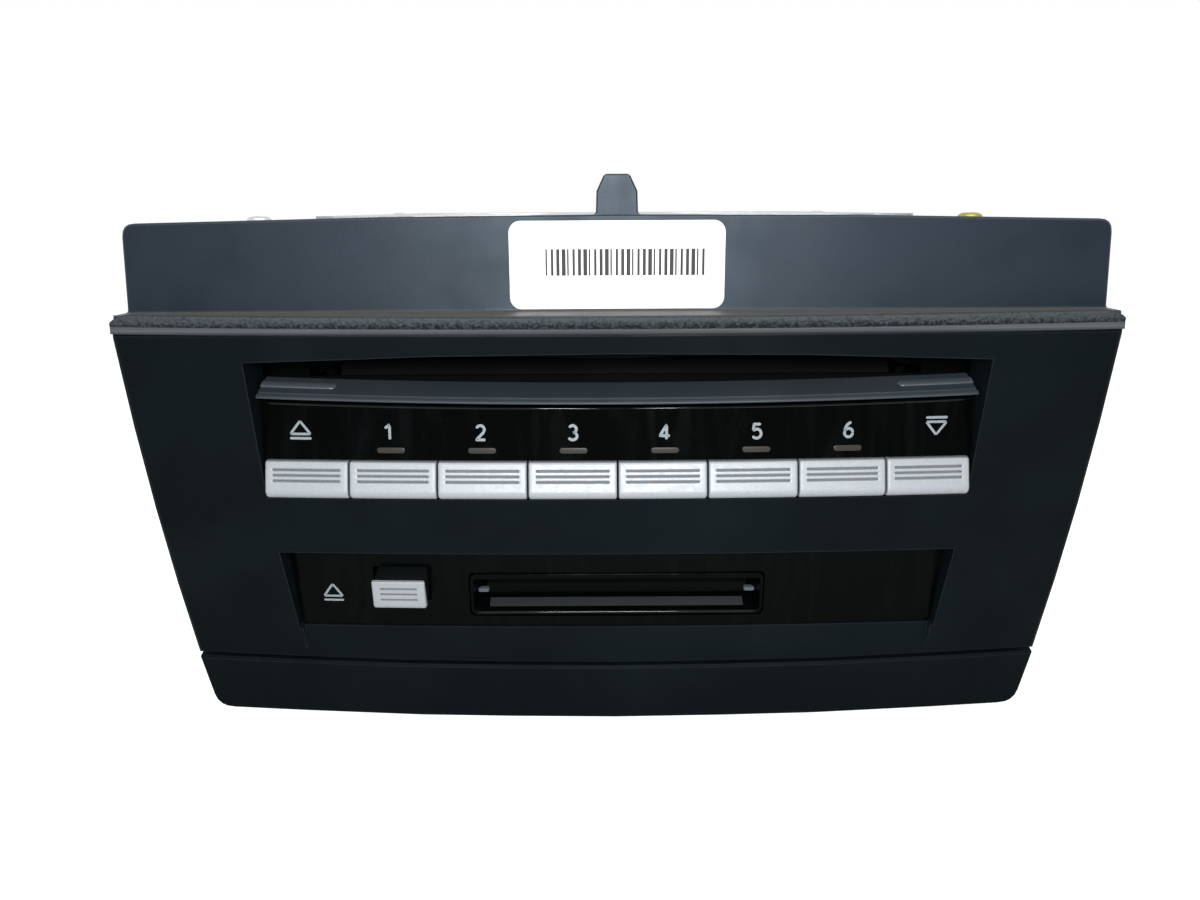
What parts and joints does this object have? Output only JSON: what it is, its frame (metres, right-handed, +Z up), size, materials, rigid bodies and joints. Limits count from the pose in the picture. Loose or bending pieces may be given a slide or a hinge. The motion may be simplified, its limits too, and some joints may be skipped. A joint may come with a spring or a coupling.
{
  "type": "car radio",
  "caption": "Built-in car radio with a multi-disc changer, a card slot, push keys on a bowed slanting face, an upright upper panel and rear sockets.",
  "frame": {"origin": "centre of the pressed field of the chassis floor, on its underside", "axes": "+X to the right as the driver sees it, -Y out of the front, +Z up"},
  "size_m": [0.1836, 0.2004, 0.1148],
  "materials": {
    "fascia_black": "moulded black plastic with a fine matt texture",
    "slab_grey": "moulded blue-grey plastic with a fine texture",
    "foam": "rough open foam strip",
    "gloss_black": "polished black plastic",
    "silver_paint": "plastic with fine silver paint",
    "light_guide": "smoked clear plastic",
    "plated_steel": "zinc-plated folded sheet",
    "bright_steel": "bright plated steel",
    "brass_yellow": "yellow passivated",
    "alloy": "plain extruded and machined aluminium",
    "board_green": "glass-fibre board with green solder resist",
    "dark_plastic": "dark moulded plastic",
    "rubber": "soft rubber",
    "felt": "dense black felt",
    "black_steel": "black-coated sheet"
  },
  "bodies": {
    "housing": {"fascia_frame": "fascia_black", "lower_apron": "fascia_black", "top_panel": "slab_grey", "seal_strip": "foam", "disc_slot_lip": "gloss_black", "disc_guide_top": "dark_plastic", "slot_felt": "felt", "legend_panel": "gloss_black", "indicator_light_guide": "light_guide", "key_board": "board_green", "card_panel": "gloss_black", "card_slot_bezel": "gloss_black", "chassis_tray": "plated_steel", "front_plate": "black_steel", "rear_plate": "plated_steel", "top_cover": "plated_steel", "side_bracket_left": "plated_steel", "side_bracket_right": "plated_steel", "heat_sink": "alloy", "main_connector": "dark_plastic", "display_socket": "dark_plastic", "antenna_socket": "brass_yellow", "cover_screw_front_left": "bright_steel", "cover_screw_front_right": "brass_yellow", "cover_screw_rear_left": "bright_steel", "cover_screw_rear_right": "bright_steel", "main_board": "board_green", "card_cage": "bright_steel", "mechanism_deck": "plated_steel", "spindle_motor": "alloy", "guide_rod": "bright_steel", "roller_bracket": "bright_steel", "elevator_motor": "alloy"},
    "card_eject_key": {"card_eject_key": "silver_paint"},
    "card_door": {"card_door": "dark_plastic"},
    "turntable": {"turntable": "dark_plastic"},
    "laser_sled": {"laser_sled": "dark_plastic"},
    "lead_screw": {"lead_screw": "bright_steel"},
    "feed_roller": {"feed_roller": "rubber"},
    "elevator_screw_left": {"elevator_screw_left": "bright_steel"},
    "elevator_screw_right": {"elevator_screw_right": "bright_steel"},
    "elevator_screw_rear": {"elevator_screw_rear": "bright_steel"},
    "key_eject": {"key_eject": "silver_paint"},
    "key_1": {"key_1": "silver_paint"},
    "key_2": {"key_2": "silver_paint"},
    "key_3": {"key_3": "silver_paint"},
    "key_4": {"key_4": "silver_paint"},
    "key_5": {"key_5": "silver_paint"},
    "key_6": {"key_6": "silver_paint"},
    "key_load": {"key_load": "silver_paint"},
    "tray_stack": {"disc_tray_1": "dark_plastic", "disc_tray_2": "dark_plastic", "disc_tray_3": "dark_plastic", "disc_tray_4": "dark_plastic", "disc_tray_5": "dark_plastic", "disc_tray_6": "dark_plastic"}
  },
  "joints": [
    {"name": "key_eject_press", "type": "slide", "parent": "housing", "child": "key_eject", "axis": [0, 0.9681, 0.2504], "range_m": [0, 0.0008], "stiffness_N_per_m": 1200, "springref_m": -0.0008},
    {"name": "key_1_press", "type": "slide", "parent": "housing", "child": "key_1", "axis": [0, 0.9681, 0.2504], "range_m": [0, 0.0008], "stiffness_N_per_m": 1200, "springref_m": -0.0008},
    {"name": "key_2_press", "type": "slide", "parent": "housing", "child": "key_2", "axis": [0, 0.9681, 0.2504], "range_m": [0, 0.0008], "stiffness_N_per_m": 1200, "springref_m": -0.0008},
    {"name": "key_3_press", "type": "slide", "parent": "housing", "child": "key_3", "axis": [0, 0.9681, 0.2504], "range_m": [0, 0.0008], "stiffness_N_per_m": 1200, "springref_m": -0.0008},
    {"name": "key_4_press", "type": "slide", "parent": "housing", "child": "key_4", "axis": [0, 0.9681, 0.2504], "range_m": [0, 0.0008], "stiffness_N_per_m": 1200, "springref_m": -0.0008},
    {"name": "key_5_press", "type": "slide", "parent": "housing", "child": "key_5", "axis": [0, 0.9681, 0.2504], "range_m": [0, 0.0008], "stiffness_N_per_m": 1200, "springref_m": -0.0008},
    {"name": "key_6_press", "type": "slide", "parent": "housing", "child": "key_6", "axis": [0, 0.9681, 0.2504], "range_m": [0, 0.0008], "stiffness_N_per_m": 1200, "springref_m": -0.0008},
    {"name": "key_load_press", "type": "slide", "parent": "housing", "child": "key_load", "axis": [0, 0.9681, 0.2504], "range_m": [0, 0.0008], "stiffness_N_per_m": 1200, "springref_m": -0.0008},
    {"name": "card_eject_press", "type": "slide", "parent": "housing", "child": "card_eject_key", "axis": [0, 0.9681, 0.2504], "range_m": [0, 0.0035], "stiffness_N_per_m": 500, "springref_m": -0.001},
    {"name": "card_door_swing", "type": "hinge", "parent": "housing", "child": "card_door", "pos_m": [0, -0.08581, 0.03421], "axis": [1, 0, 0], "range_deg": [0, 80], "stiffness_Nm_per_rad": 0.002, "springref_deg": -11.46},
    {"name": "feed_roller_spin", "type": "hinge", "parent": "housing", "child": "feed_roller", "pos_m": [0, -0.071, 0.07403], "axis": [1, 0, 0], "continuous": true},
    {"name": "turntable_spin", "type": "hinge", "parent": "housing", "child": "turntable", "pos_m": [0, -0.005, 0.051], "axis": [0, 0, 1], "continuous": true},
    {"name": "laser_slide", "type": "slide", "parent": "housing", "child": "laser_sled", "axis": [0, 1, 0], "range_m": [0, 0.03]},
    {"name": "lead_screw_spin", "type": "hinge", "parent": "housing", "child": "lead_screw", "pos_m": [0.017, 0.037, 0.05223], "axis": [0, 1, 0], "range_deg": [0, 5410]},
    {"name": "tray_lift", "type": "slide", "parent": "housing", "child": "tray_stack", "axis": [0, 0, 1], "range_m": [0, 0.02]},
    {"name": "elevator_left_spin", "type": "hinge", "parent": "housing", "child": "elevator_screw_left", "pos_m": [-0.073, -0.046, 0.077], "axis": [0, 0, 1], "range_deg": [0, 2410]},
    {"name": "elevator_right_spin", "type": "hinge", "parent": "housing", "child": "elevator_screw_right", "pos_m": [0.073, -0.046, 0.077], "axis": [0, 0, 1], "range_deg": [0, 2410]},
    {"name": "elevator_rear_spin", "type": "hinge", "parent": "housing", "child": "elevator_screw_rear", "pos_m": [0, 0.066, 0.077], "axis": [0, 0, 1], "range_deg": [0, 2410]}
  ],
  "couplings": [
    {"joint": "lead_screw_spin", "follows": "laser_slide", "rad_per_m": 3141.6},
    {"joint": "elevator_left_spin", "follows": "tray_lift", "rad_per_m": 2094.4},
    {"joint": "elevator_right_spin", "follows": "tray_lift", "rad_per_m": 2094.4},
    {"joint": "elevator_rear_spin", "follows": "tray_lift", "rad_per_m": 2094.4}
  ]
}
